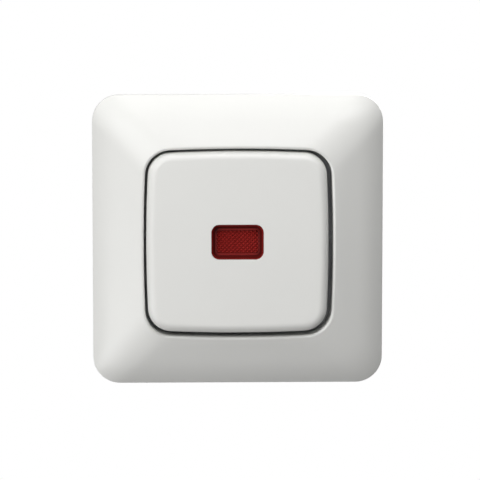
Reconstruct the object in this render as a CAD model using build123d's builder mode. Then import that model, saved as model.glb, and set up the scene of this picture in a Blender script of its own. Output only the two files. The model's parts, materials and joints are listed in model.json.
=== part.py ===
from build123d import *

import os
from math import cos, radians, sin, tan

# Flush-mounted rocker switch. The wall is the plane y = 0, +Z is up and the rocker faces -Y.
# Heights above the wall are given as p (p = -y), so what lies in the wall box has a negative p.

# Cover frame
frame_size = 80.5
frame_corner = 7.5
frame_wall = 1.8
rim_p = 11.4
rim_land = 0.7
rim_corner = 8.0
rim_rounding = 0.6
slope_angle = 26.0
slope_run = 6.4
edge_angle = 44.0
roll_steps = 4
hollow_steps = 2
opening_size = 52.2
opening_bow = 0.75
opening_corner = 7.2
skirt_wall = 1.6
skirt_p = 3.6
hook_inset = 1.25
hook_rise = 11.0
hook_width = 5.0
hook_wall = 1.4
hook_barb = 0.8
hook_reach = 1.6
slot_clearance = 0.4
frame_rib_wall = 1.0
frame_rib_spread = 18.0
frame_rib_p = 2.2

# Rocker
rocker_gap = 1.0
rocker_shift = -0.28
rocker_corner = 6.5
face_p = 13.0
rocker_skirt_p = 6.2
rocker_wall = 1.8
rocker_top = 2.0
rocker_rounding = 2.4
rocker_rib_wall = 1.0
rocker_rib_depth = 1.8
tilt_swing = 3.0
pivot_p = 4.0
leg_inset = 2.1
leg_z = 9.0
leg_wall = 1.4
leg_width = 4.0
leg_barb = 0.5
leg_clearance = 0.4

# Red lens in the rocker
lens_width = 14.4
lens_height = 9.6
lens_corner = 2.2
lens_clearance = 0.05
lens_step = 0.3
lens_lip = 0.25
lens_depth = 1.6
lens_taper = 25.0
lens_groove = 0.5
lens_groove_depth = 0.3
lens_flange = 1.0
lens_flange_wall = 1.2
lens_floor_wall = 0.8

# Rocker carrier with its trunnions and spring tube
carrier_width = 31.0
carrier_height = 30.0
carrier_corner = 2.0
carrier_p = 6.4
carrier_wall = 1.8
carrier_boss_r = 1.6
carrier_boss_x = 11.5
carrier_boss_inset = 2.0
carrier_seat = 0.1
lamp_window_gap = 1.0
lamp_window_height = 8.0
cheek_overhang = 1.0
cheek_wall = 1.8
cheek_half = 3.2
cheek_p = 2.2
trunnion_r = 1.5
trunnion_end = 0.3
pin_clearance = 0.06
toggle_x = 10.0
tube_wall = 1.12
tube_p = 0.5
plunger_r = 1.9
plunger_tip_r = 1.7
plunger_clearance = 0.08
plunger_back_p = 3.0
spring_wire_r = 0.2
spring_side_gap = 0.23
spring_wire_sides = 8
spring_turns = 5

# Bearing cover
cover_claw_gap = 0.8
cover_corner = 2.5
cover_wall = 1.8
cover_edge_r = 0.45
cover_window_half_z = 6.6
cover_window_gap = 0.4
ear_wall = 2.4

# Mounting plate
plate_margin = 2.95
plate_wall = 1.2
plate_chamfer = 13.0
plate_window_side = 0.1
plate_rivet_wall = 0.4
plate_bead_length = 10.0
plate_bead_width = 1.6
plate_bead_rise = 0.5
plate_bead_x = 16.0
plate_bead_gap = 3.0
box_screw_spacing = 60.0
box_slot_length = 5.5
box_slot_r = 1.9
arc_slot_r = 1.8
arc_slot_sweep = 16.0
rivet_x = 13.0
rivet_inset = 2.0
rivet_r = 1.1
rivet_clearance = 0.05
rivet_head_r = 2.0
rivet_head = 0.5

# Switch base in the wall box
base_width = 36.0
base_height = 47.0
base_depth = 25.0
base_chamfer = 5.0
base_floor = 2.4
base_edge_r = 0.8
well_x = 11.0
well_half_x = 3.4
well_inner_z = 12.4
well_rivet_wall = 0.8
pocket_half_x = 4.1
pocket_end = 1.0
pocket_depth = 11.6
strip_depth = 14.1
wire_hole_r = 1.5
wire_hole_z = 15.2
gauge_length = 11.0
gauge_width = 1.2
gauge_depth = 0.5
bay_half_z = 6.5
bay_depth = 0.8
bay_reach = 20.0
fit = 0.1

# Contacts
strip_wall = 0.8
terminal_end = 1.0
strip_half = 2.0
strip_z = 3.0
seesaw_p = -8.5
seesaw_swing = 5.0
seesaw_width = 6.4
seesaw_wall = 0.5
seesaw_half = 12.0
seesaw_bead_r = 0.8
seesaw_bead_length = 3.6
bead_clearance = 0.08
button_z = 10.5
button_r = 1.5
button_height = 0.7
contact_gap = 0.12
post_width = 4.4
post_half = 1.6
traveller_half = 2.2

# Push-in terminals
leaf_wall = 0.4
leaf_width = 4.4
leaf_top = 1.6
leaf_tail = 3.5
leaf_run = 2.6
leaf_bend_r = 0.6
lever_half_x = 3.6
lever_half_z = 1.4
lever_arm_half = 9.2
lever_proud = 0.6
lever_arm_wall = 1.8
lever_gap = 0.15

# Spreading claws
claw_base_gap = 2.8
claw_hinge_p = -2.6
claw_stub_r = 1.0
claw_eye_r = 1.7
claw_cheek = 3.3
claw_wall = 0.9
nut_side_gap = 0.3
claw_top_p = -3.0
claw_tab_p = -6.2
claw_tab_depth = 1.6
claw_bend_p = -10.0
claw_end_p = -21.5
claw_tooth = 1.3
claw_tooth_count = 4
claw_ear_wall = 1.2
claw_ear_gap = 0.2
claw_screw_offset = 2.7
claw_screw_r = 1.5
claw_screw_end_p = -18.0
claw_screw_head_r = 2.7
claw_screw_head = 1.9
claw_screw_slot = 0.8
claw_screw_dome = 0.6
claw_screw_tip = 0.5
screw_clearance = 0.05
nut_half = 3.0
nut_wall = 2.2
nut_gap = 0.15

# Lamp behind the lens
lamp_holder_width = 10.0
lamp_holder_height = 12.0
lamp_holder_p = 2.4
lamp_seat_p = -8.0
lamp_r = 2.3
lamp_end_r = 1.4
lamp_p = 5.2
lamp_cheek = 0.9
lamp_pin_r = 0.5
lamp_lead_z = 2.9

rest_tilt = tilt_swing
opening_half = opening_size / 2
hook_span = opening_half + hook_inset
rocker_half = opening_half - rocker_gap
leg_x = carrier_width / 2 - leg_inset
cheek_outer = carrier_width / 2 + cheek_overhang
ear_x = cheek_outer + cover_window_gap
bore_r = plunger_r + plunger_clearance
tube_r = bore_r + tube_wall
spring_r = bore_r - spring_wire_r - spring_side_gap
rivet_z = base_height / 2 - rivet_inset
well_outer_z = rivet_z - rivet_r - well_rivet_wall
claw_hinge_x = base_width / 2 + claw_base_gap
claw_screw_x = claw_hinge_x + claw_screw_offset
claw_leg_x = claw_screw_x + nut_half + nut_side_gap
cover_width = 2 * (claw_screw_x - claw_screw_head_r - cover_claw_gap)
plate_size = frame_size - 2 * (frame_wall + plate_margin)


def front(p):
    """Plane parallel to the wall at height p; its x is to the right and its y is up."""
    return Plane(origin=(0, -p, 0), x_dir=(1, 0, 0), z_dir=(0, -1, 0))


def turned(p, axis_p, angle):
    """The same plane turned about an axis along X at height axis_p, upper edge inwards."""
    normal = Vector(0, -cos(radians(angle)), sin(radians(angle)))
    return Plane(origin=Vector(0, -axis_p, 0) + normal * (p - axis_p), x_dir=(1, 0, 0), z_dir=normal)


def tilted(p):
    """Plane of the rocker's carrier, upper edge pressed in."""
    return turned(p, pivot_p, rest_tilt)


def key_plane(p):
    """The same for the rocker and its lens, which sit to the left within their play."""
    plane = tilted(p)
    return Plane(origin=plane.origin + Vector(rocker_shift, 0, 0), x_dir=plane.x_dir, z_dir=plane.z_dir)


def side(x):
    """Upright plane across X; its x is up and its y points out of the wall."""
    return Plane(origin=(x, 0, 0), x_dir=(0, 0, 1), z_dir=(1, 0, 0))


def level(z):
    """Level plane at height z; its x is to the right and its y points out of the wall."""
    return Plane(origin=(0, 0, z), x_dir=(1, 0, 0), z_dir=(0, 0, -1))


def save(part, name):
    """Label a finished piece and write it."""
    part.label = name
    export_step(part, f"parts/{name}.step")


def bowed_square(half, bow, corner):
    """Square outline whose sides bow outwards, with round corners."""
    tip = half - bow
    with BuildSketch() as outline:
        with BuildLine():
            ThreePointArc((-tip, -tip), (0, -half), (tip, -tip))
            ThreePointArc((tip, -tip), (half, 0), (tip, tip))
            ThreePointArc((tip, tip), (0, half), (-tip, tip))
            ThreePointArc((-tip, tip), (-half, 0), (-tip, -tip))
        make_face()
        fillet(outline.vertices(), corner)
    return outline.sketch


def slope_sections():
    """Points of the frame's slope from the rim outwards, as (half width, p, angle)."""
    rim_half = opening_half + rim_land
    roll_half = rim_half + slope_run
    roll_width = frame_size / 2 - roll_half
    roll_r = roll_width / (sin(radians(edge_angle)) - sin(radians(slope_angle)))
    roll_p = rim_p - slope_run * tan(radians(slope_angle))
    sections = [(rim_half, rim_p, slope_angle)]
    sections.append((rim_half + slope_run / 2, (rim_p + roll_p) / 2, slope_angle))
    sections.append((roll_half, roll_p, slope_angle))
    for step in range(1, roll_steps + 1):
        angle = slope_angle + (edge_angle - slope_angle) * step / roll_steps
        half = roll_half + roll_r * (sin(radians(angle)) - sin(radians(slope_angle)))
        p = roll_p - roll_r * (cos(radians(slope_angle)) - cos(radians(angle)))
        sections.append((half, p, angle))
    return sections


os.makedirs("parts", exist_ok=True)
opening_outline = bowed_square(opening_half, opening_bow, opening_corner)
skirt_outline = bowed_square(opening_half + skirt_wall, opening_bow, opening_corner + skirt_wall)
rocker_outline = bowed_square(rocker_half, opening_bow, rocker_corner)
rocker_inside = bowed_square(rocker_half - rocker_wall, opening_bow, rocker_corner - rocker_wall)
slope = slope_sections()
edge_p = slope[-1][1]

# Hollow of the cover frame: the outer form less one wall's thickness, in flat steps, less the ribs.
inner_half = frame_size / 2 - frame_wall
with BuildPart() as frame_hollow:
    for half, p, angle in slope[::hollow_steps]:
        across = min(half - frame_wall * sin(radians(angle)), inner_half)
        with BuildSketch(front(p - frame_wall * cos(radians(angle)))):
            RectangleRounded(2 * across, 2 * across, frame_corner - frame_wall)
    loft(ruled=True)
    with BuildSketch(front(0)):
        RectangleRounded(2 * inner_half, 2 * inner_half, frame_corner - frame_wall)
    extrude(amount=edge_p - frame_wall * cos(radians(edge_angle)))
    with BuildSketch(front(frame_rib_p)):
        with GridLocations(2 * frame_rib_spread, 0, 2, 1):
            Rectangle(frame_rib_wall, frame_size)
        with GridLocations(0, 2 * frame_rib_spread, 1, 2):
            Rectangle(frame_size, frame_rib_wall)
    extrude(amount=rim_p, mode=Mode.SUBTRACT)

# Cover frame: straight side wall, rolled slope up to the rim, hollow and ribbed behind.
with BuildPart() as cover_frame:
    with BuildSketch(front(0)):
        RectangleRounded(frame_size, frame_size, frame_corner)
    extrude(amount=edge_p)
    for half, p, angle in slope:
        share = (frame_size / 2 - half) / (frame_size / 2 - slope[0][0])
        with BuildSketch(front(p)):
            corner = frame_corner + (rim_corner - frame_corner) * share
            RectangleRounded(2 * half, 2 * half, corner)
    loft()
    add(frame_hollow.part, mode=Mode.SUBTRACT)
    # Skirt round the opening, then the opening itself.
    with BuildSketch(front(skirt_p)):
        add(skirt_outline)
    extrude(amount=rim_p - frame_wall / 2 - skirt_p)
    with BuildSketch(front(0)):
        add(opening_outline)
    extrude(amount=2 * rim_p, mode=Mode.SUBTRACT)
    rim_edges = cover_frame.faces().sort_by(Axis.Y)[0].inner_wires()[0].edges()
    fillet(rim_edges, rim_rounding)
    # Four snap hooks that catch behind the mounting plate.
    with BuildSketch(front(-plate_wall - hook_reach)):
        with GridLocations(2 * hook_span, 2 * hook_rise, 2, 2):
            Rectangle(hook_wall, hook_width)
    extrude(amount=plate_wall + hook_reach + skirt_p + frame_wall)
    for sx in (-1, 1):
        for sz in (-1, 1):
            arm_x = sx * (hook_span + hook_wall / 2)
            with BuildSketch(level(sz * hook_rise + hook_width / 2)):
                with BuildLine():
                    Polyline(
                        (arm_x, -fit),
                        (arm_x + sx * hook_barb, -fit),
                        (arm_x, -plate_wall - hook_reach),
                        close=True,
                    )
                make_face()
            extrude(amount=hook_width)
save(cover_frame.part, "cover_frame")

# Rocker: moulded key with bowed sides, a window for the lens and four snap legs behind.
underside_p = face_p - rocker_top
with BuildPart() as rocker:
    with BuildSketch(key_plane(rocker_skirt_p)):
        add(rocker_outline)
    extrude(amount=face_p - rocker_skirt_p)
    fillet(rocker.faces().sort_by(Axis.Y)[0].edges(), rocker_rounding)
    with BuildSketch(key_plane(rocker_skirt_p)):
        add(rocker_inside)
    extrude(amount=underside_p - rocker_skirt_p, mode=Mode.SUBTRACT)
    with BuildSketch(key_plane(underside_p)):
        RectangleRounded(lens_width, lens_height, lens_corner)
    extrude(amount=rocker_top, mode=Mode.SUBTRACT)
    # Stiffening ribs round the window's flange.
    with BuildSketch(key_plane(underside_p - lens_flange_wall - rocker_wall / 2)):
        rib_width = lens_width + 2 * lens_flange + 2 * lens_clearance
        rib_height = lens_height + 2 * lens_flange + 2 * lens_clearance
        RectangleRounded(rib_width + rocker_wall, rib_height + rocker_wall, lens_corner)
        RectangleRounded(rib_width, rib_height, lens_corner / 2, mode=Mode.SUBTRACT)
    extrude(amount=lens_flange_wall + rocker_wall / 2)
    # Cross ribs from there to the side walls.
    with BuildSketch(key_plane(underside_p - rocker_rib_depth)):
        rib_span = 2 * (rocker_half - rocker_wall / 2)
        Rectangle(rib_span, rocker_rib_wall)
        Rectangle(rocker_rib_wall, rib_span)
        Rectangle(rib_width, rib_height, mode=Mode.SUBTRACT)
    extrude(amount=rocker_rib_depth)
    leg_reach = carrier_p - 2 * leg_barb - rocker_wall
    with BuildSketch(key_plane(leg_reach)):
        with GridLocations(2 * leg_x, 2 * leg_z, 2, 2):
            Rectangle(leg_wall, leg_width)
    extrude(amount=underside_p - leg_reach)
    # Barbs at the legs' ends, which catch under the carrier.
    for sx in (-1, 1):
        with BuildSketch(key_plane(leg_reach)):
            with Locations((sx * (leg_x - leg_barb / 2), leg_z), (sx * (leg_x - leg_barb / 2), -leg_z)):
                Rectangle(leg_wall + leg_barb, leg_width)
        extrude(amount=carrier_p - leg_barb / 2 - leg_reach)
save(rocker.part, "rocker")

# Lens: a clear red tub, flush with the rocker, held by a flange behind.
lens_back_p = underside_p - lens_flange_wall
lens_floor_p = face_p - lens_step - lens_depth
with BuildPart() as lens:
    with BuildSketch(key_plane(lens_back_p)):
        RectangleRounded(
            lens_width + 2 * lens_flange,
            lens_height + 2 * lens_flange,
            lens_corner,
        )
    extrude(amount=lens_flange_wall - lens_clearance)
    with BuildSketch(key_plane(lens_back_p)):
        RectangleRounded(
            lens_width - 2 * lens_clearance,
            lens_height - 2 * lens_clearance,
            lens_corner - lens_clearance,
        )
    extrude(amount=face_p - lens_step - lens_back_p)
    wall_run = lens_depth * tan(radians(lens_taper))
    with BuildSketch(key_plane(lens_floor_p)):
        RectangleRounded(
            lens_width - 2 * lens_lip - 2 * wall_run,
            lens_height - 2 * lens_lip - 2 * wall_run,
            lens_corner / 2,
        )
    with BuildSketch(key_plane(face_p - lens_step)):
        RectangleRounded(lens_width - 2 * lens_lip, lens_height - 2 * lens_lip, lens_corner - lens_lip)
    loft(mode=Mode.SUBTRACT)
    # Groove round the diamond field on the floor.
    floor_width = lens_width - 2 * lens_lip - 2 * wall_run
    floor_height = lens_height - 2 * lens_lip - 2 * wall_run
    with BuildSketch(key_plane(lens_floor_p)):
        RectangleRounded(floor_width, floor_height, lens_corner / 2)
        Rectangle(floor_width - 2 * lens_groove, floor_height - 2 * lens_groove, mode=Mode.SUBTRACT)
    extrude(amount=-lens_groove_depth, mode=Mode.SUBTRACT)
    # Light chamber behind the lens floor.
    with BuildSketch(key_plane(lens_back_p)):
        RectangleRounded(
            lens_width - 2 * lens_lip - 2 * wall_run,
            lens_height - 2 * lens_lip - 2 * wall_run,
            lens_corner / 2,
        )
    extrude(amount=lens_floor_p - lens_floor_wall - lens_back_p, mode=Mode.SUBTRACT)
save(lens.part, "lens")

# Rocker carrier: plate with a lamp window, two cheeks with trunnions and the spring tube.
carrier_front_p = carrier_p + carrier_wall
with BuildPart() as rocker_carrier:
    with BuildSketch(tilted(carrier_p)):
        RectangleRounded(carrier_width, carrier_height, carrier_corner)
    extrude(amount=carrier_wall)
    with BuildSketch(tilted(carrier_front_p)):
        with GridLocations(2 * carrier_boss_x, carrier_height - 2 * carrier_boss_inset, 2, 2):
            Circle(carrier_boss_r)
    extrude(amount=underside_p - carrier_seat - carrier_front_p)
    for sx in (-1, 1):
        cheek_x = cheek_outer - cheek_wall if sx > 0 else -cheek_outer
        cheek_plane = Plane(
            origin=Vector(cheek_x, -pivot_p, 0),
            x_dir=(0, sin(radians(rest_tilt)), cos(radians(rest_tilt))),
            z_dir=(1, 0, 0),
        )
        with BuildSketch(cheek_plane):
            with Locations((0, (carrier_front_p - pivot_p) / 2)):
                Rectangle(2 * cheek_half, carrier_front_p - pivot_p)
            Circle(pivot_p - cheek_p)
        extrude(amount=cheek_wall)
        trunnion_foot = cheek_outer - cheek_wall / 2
        with BuildSketch(Plane(origin=(sx * trunnion_foot, -pivot_p, 0), z_dir=(sx, 0, 0))):
            Circle(trunnion_r)
        extrude(amount=ear_x + ear_wall + trunnion_end - trunnion_foot)
    with BuildSketch(tilted(tube_p)):
        with Locations((toggle_x, 0)):
            Circle(tube_r)
    extrude(amount=carrier_front_p - tube_p)
    with BuildSketch(tilted(tube_p)):
        with Locations((toggle_x, 0)):
            Circle(bore_r)
    extrude(amount=carrier_front_p - carrier_wall / 2 - tube_p, mode=Mode.SUBTRACT)
    with BuildSketch(tilted(carrier_p)):
        Rectangle(lamp_holder_width + 2 * lamp_window_gap, lamp_window_height)
    extrude(amount=carrier_wall, mode=Mode.SUBTRACT)
    # Slots for the rocker's legs.
    with BuildSketch(tilted(carrier_p)):
        with GridLocations(2 * leg_x, 2 * leg_z, 2, 2):
            Rectangle(leg_wall + 2 * leg_clearance, leg_width + 2 * leg_clearance)
    extrude(amount=carrier_wall, mode=Mode.SUBTRACT)
save(rocker_carrier.part, "rocker_carrier")

# Plunger: round pin with a ball end, pressed on the seesaw by the spring.
seesaw_top_p = seesaw_p + seesaw_wall + seesaw_wall / 2
plunger_tip_p = seesaw_top_p + contact_gap
with BuildPart() as plunger:
    with BuildSketch(tilted(plunger_tip_p)):
        with Locations((toggle_x, 0)):
            Circle(plunger_r)
    extrude(amount=plunger_back_p - plunger_tip_p)
    tip_edges = plunger.faces().sort_by(Axis.Y)[-1].edges()
    fillet(tip_edges, plunger_tip_r)
save(plunger.part, "plunger")

# Toggle spring between the plunger and the closed end of the tube.
spring_low_p = plunger_back_p + spring_wire_r + fit
spring_high_p = carrier_front_p - carrier_wall / 2 - spring_wire_r - fit
spring_length = spring_high_p - spring_low_p
spring_foot = tilted(spring_low_p)
with BuildPart() as toggle_spring:
    with BuildLine() as coil:
        Helix(
            pitch=spring_length / spring_turns,
            height=spring_length,
            radius=spring_r,
            center=spring_foot.origin + Vector(toggle_x, 0, 0),
            direction=spring_foot.z_dir,
        )
    coil_start = coil.line @ 0
    with BuildSketch(Plane(origin=coil_start, z_dir=coil.line % 0)):
        RegularPolygon(radius=spring_wire_r, side_count=spring_wire_sides)
    sweep(path=coil.line)
save(toggle_spring.part, "toggle_spring")

# Bearing cover: plate in front of the mounting plate, with the two bearing ears.
cover_front_p = plate_wall + cover_wall
ear_round = pivot_p - plate_wall
with BuildPart() as bearing_cover:
    with BuildSketch(front(plate_wall)):
        RectangleRounded(cover_width, base_height, cover_corner)
    extrude(amount=cover_wall)
    fillet(bearing_cover.faces().sort_by(Axis.Y)[0].edges(), cover_edge_r)
    for sx in (-1, 1):
        with BuildSketch(side(ear_x if sx > 0 else -ear_x - ear_wall)):
            with Locations((0, (plate_wall + pivot_p) / 2)):
                Rectangle(2 * ear_round, pivot_p - plate_wall)
            with Locations((0, pivot_p)):
                Circle(ear_round)
        extrude(amount=ear_wall)
    with BuildSketch(front(plate_wall)):
        Rectangle(2 * ear_x, 2 * cover_window_half_z)
    extrude(amount=2 * ear_round + pivot_p, mode=Mode.SUBTRACT)
    with BuildSketch(side(-cover_width / 2)):
        with Locations((0, pivot_p)):
            Circle(trunnion_r + pin_clearance)
    extrude(amount=cover_width, mode=Mode.SUBTRACT)
    with BuildSketch(front(plate_wall)):
        with GridLocations(2 * rivet_x, 2 * rivet_z, 2, 2):
            Circle(rivet_r + rivet_clearance)
    extrude(amount=cover_wall, mode=Mode.SUBTRACT)
save(bearing_cover.part, "bearing_cover")

# Mounting plate: pressed steel with slots, windows for the hooks and ears for the claws.
ear_inner_z = claw_cheek + claw_wall + claw_ear_gap
plate_window_z = rivet_z - rivet_r - plate_rivet_wall
plate_bead_z = base_height / 2 + plate_bead_gap
with BuildPart() as mounting_plate:
    with BuildSketch(front(0)) as plate_outline:
        Rectangle(plate_size, plate_size)
        chamfer(plate_outline.vertices(), plate_chamfer)
        Rectangle(2 * (ear_x + plate_window_side), 2 * plate_window_z, mode=Mode.SUBTRACT)
        with GridLocations(box_screw_spacing, 0, 2, 1):
            SlotOverall(box_slot_length, 2 * box_slot_r, mode=Mode.SUBTRACT)
        with GridLocations(2 * claw_screw_x, 0, 2, 1):
            Circle(claw_screw_r + slot_clearance, mode=Mode.SUBTRACT)
        with GridLocations(2 * rivet_x, 2 * rivet_z, 2, 2):
            Circle(rivet_r + rivet_clearance, mode=Mode.SUBTRACT)
        hook_slot = hook_wall + hook_barb + slot_clearance
        with GridLocations(2 * hook_span + hook_barb, 2 * hook_rise, 2, 2):
            Rectangle(hook_slot, hook_width + slot_clearance, mode=Mode.SUBTRACT)
    extrude(amount=plate_wall)
    # Curved slots above and below, for a box whose screws stand upright.
    for middle in (90, 270):
        with BuildSketch(front(0)):
            SlotArc(
                CenterArc((0, 0), box_screw_spacing / 2, middle - arc_slot_sweep / 2, arc_slot_sweep),
                2 * arc_slot_r,
            )
        extrude(amount=plate_wall, mode=Mode.SUBTRACT)
    # Pressed beads that stiffen the plate above and below its window.
    with BuildSketch(front(plate_wall)):
        with GridLocations(2 * plate_bead_x, 2 * plate_bead_z, 2, 2):
            SlotOverall(plate_bead_length, plate_bead_width)
    extrude(amount=plate_bead_rise)
    # Ears bent back beside each claw.
    for sx in (-1, 1):
        for sz in (-1, 1):
            ear_z = sz * ear_inner_z if sz < 0 else ear_inner_z + claw_ear_wall
            with BuildSketch(level(ear_z)):
                with Locations((sx * claw_hinge_x, claw_hinge_p / 2)):
                    Rectangle(2 * claw_eye_r, -claw_hinge_p)
                with Locations((sx * claw_hinge_x, claw_hinge_p)):
                    Circle(claw_eye_r)
                with Locations((sx * claw_hinge_x, claw_hinge_p)):
                    Circle(claw_stub_r + pin_clearance, mode=Mode.SUBTRACT)
            extrude(amount=claw_ear_wall)
save(mounting_plate.part, "mounting_plate")

# Switch base: moulded block with four terminal wells, the mechanism's pocket and strip channels.
well_width = 2 * well_half_x
well_height = well_outer_z - well_inner_z
well_z = (well_outer_z + well_inner_z) / 2
floor_p = base_floor - base_depth
holder_pocket_width = lamp_holder_width + 2 * fit
holder_pocket_height = lamp_holder_height + 2 * fit
with BuildPart() as switch_base:
    with BuildSketch(front(-base_depth)) as base_outline:
        Rectangle(base_width, base_height)
        chamfer(base_outline.vertices(), base_chamfer)
    extrude(amount=base_depth)
    fillet(switch_base.faces().sort_by(Axis.Y)[-1].edges(), base_edge_r)
    with BuildSketch(front(floor_p)):
        with GridLocations(2 * well_x, 2 * well_z, 2, 2):
            Rectangle(well_width, well_height)
    extrude(amount=-floor_p, mode=Mode.SUBTRACT)
    with BuildSketch(front(-pocket_depth)):
        with Locations((toggle_x, 0)):
            Rectangle(2 * pocket_half_x, 2 * (seesaw_half + pocket_end))
    extrude(amount=pocket_depth, mode=Mode.SUBTRACT)
    # Channels of the common strip above the middle and of the neutral bar below it.
    for sz, right in ((1, toggle_x + strip_half + strip_wall), (-1, strip_half)):
        left = -well_x - strip_half - fit
        with BuildSketch(front(-strip_depth)):
            with Locations(((left + right + fit) / 2, sz * strip_z)):
                Rectangle(right + fit - left, 2 * (strip_half + fit))
            with Locations((-well_x, sz * (strip_z + well_z) / 2)):
                Rectangle(2 * (strip_half + fit), well_z - strip_z)
        extrude(amount=strip_depth, mode=Mode.SUBTRACT)
    with BuildSketch(front(-strip_depth)):
        with Locations((toggle_x, 0)):
            Rectangle(post_width + 2 * fit, 2 * (strip_z + fit))
    extrude(amount=strip_depth, mode=Mode.SUBTRACT)
    with BuildSketch(front(lamp_seat_p)):
        Rectangle(holder_pocket_width, holder_pocket_height)
    extrude(amount=-lamp_seat_p, mode=Mode.SUBTRACT)
    # Slides of the two release levers, with their openings in the rear wall.
    with BuildSketch(front(floor_p)):
        with GridLocations(0, 2 * wire_hole_z, 1, 2):
            Rectangle(2 * (lever_arm_half + lever_gap), 2 * (lever_half_z + lever_gap))
    extrude(amount=-floor_p, mode=Mode.SUBTRACT)
    with BuildSketch(front(-base_depth)):
        with GridLocations(0, 2 * wire_hole_z, 1, 2):
            Rectangle(2 * (lever_half_x + lever_gap), 2 * (lever_half_z + lever_gap))
        with GridLocations(2 * well_x, 2 * wire_hole_z, 2, 2):
            Circle(wire_hole_r)
    extrude(amount=base_floor, mode=Mode.SUBTRACT)
    with BuildSketch(front(-base_depth)):
        with GridLocations(2 * rivet_x, 2 * rivet_z, 2, 2):
            Circle(rivet_r + rivet_clearance)
    extrude(amount=base_depth, mode=Mode.SUBTRACT)
    # Sunk bar on the rear wall, as long as a wire's end is stripped.
    with BuildSketch(front(-base_depth)):
        SlotOverall(gauge_length, gauge_width)
    extrude(amount=gauge_depth, mode=Mode.SUBTRACT)
    # Shallow bays in the sides, beside the claws.
    for sx in (-1, 1):
        with BuildSketch(level(bay_half_z)):
            with Locations((sx * base_width / 2, -bay_reach / 2)):
                Rectangle(2 * bay_depth, bay_reach)
        extrude(amount=2 * bay_half_z, mode=Mode.SUBTRACT)
save(switch_base.part, "switch_base")

# Tubular rivets through cover, plate and base, with a head at each end.
with BuildPart() as base_rivets:
    with BuildSketch(front(-base_depth - rivet_head)):
        with GridLocations(2 * rivet_x, 2 * rivet_z, 2, 2):
            Circle(rivet_head_r)
    extrude(amount=rivet_head)
    with BuildSketch(front(-base_depth - rivet_head)):
        with GridLocations(2 * rivet_x, 2 * rivet_z, 2, 2):
            Circle(rivet_r)
    extrude(amount=base_depth + 2 * rivet_head + cover_front_p)
    with BuildSketch(front(cover_front_p)):
        with GridLocations(2 * rivet_x, 2 * rivet_z, 2, 2):
            Circle(rivet_head_r)
    extrude(amount=rivet_head)
    with BuildSketch(front(-base_depth - rivet_head)):
        with GridLocations(2 * rivet_x, 2 * rivet_z, 2, 2):
            Circle(rivet_r / 2)
    extrude(amount=2 * rivet_head + rivet_r, mode=Mode.SUBTRACT)
save(base_rivets.part, "base_rivets")


def seesaw_plane(p):
    """Plane of the contact seesaw, lower arm pressed in."""
    return turned(p, seesaw_p, -seesaw_swing)


# Contact seesaw: flat spring bronze with a bead to rock on and a silver button at each end.
with BuildPart() as contact_seesaw:
    with BuildSketch(seesaw_plane(seesaw_p + seesaw_wall / 2)):
        with Locations((toggle_x, 0)):
            RectangleRounded(seesaw_width, 2 * seesaw_half, button_r)
    extrude(amount=seesaw_wall)
    with BuildSketch(seesaw_plane(seesaw_p + seesaw_wall / 2 - button_height)):
        with Locations((toggle_x, button_z), (toggle_x, -button_z)):
            Circle(button_r)
    extrude(amount=button_height)
    with BuildSketch(side(toggle_x - seesaw_bead_length / 2)):
        with Locations((0, seesaw_p)):
            Circle(seesaw_bead_r)
    extrude(amount=seesaw_bead_length)
    with BuildSketch(seesaw_plane(seesaw_p + seesaw_wall / 2 + seesaw_wall)):
        with Locations((toggle_x, 0)):
            Rectangle(seesaw_width, 2 * seesaw_half)
    extrude(amount=seesaw_bead_r, mode=Mode.SUBTRACT)
save(contact_seesaw.part, "contact_seesaw")

# Fixed contacts: a pad with a button under each arm, bent down into the terminal well.
drop = button_z * sin(radians(seesaw_swing))
button_rest = seesaw_p - drop + (seesaw_wall / 2 - button_height) * cos(radians(seesaw_swing))
button_top_p = button_rest - contact_gap
pad_p = -pocket_depth + fit
plate_end_p = floor_p + terminal_end
plate_z = well_inner_z + fit
for name, sz in (("contact_one", 1), ("contact_two", -1)):
    with BuildPart() as contact:
        pad_low = button_z - button_r - strip_wall
        pad_high = plate_z + strip_wall
        with BuildSketch(front(pad_p)):
            with Locations((toggle_x, sz * (pad_low + pad_high) / 2)):
                Rectangle(2 * traveller_half, pad_high - pad_low)
        extrude(amount=strip_wall)
        with BuildSketch(front(pad_p + strip_wall)):
            with Locations((toggle_x, sz * button_z)):
                Circle(button_r)
        extrude(amount=button_top_p - pad_p - strip_wall)
        with BuildSketch(front(plate_end_p)):
            with Locations((toggle_x + (well_x - toggle_x) / 2, sz * (plate_z + strip_wall / 2))):
                Rectangle(2 * traveller_half, strip_wall)
        extrude(amount=pad_p - plate_end_p)
    save(contact.part, name)

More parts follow.
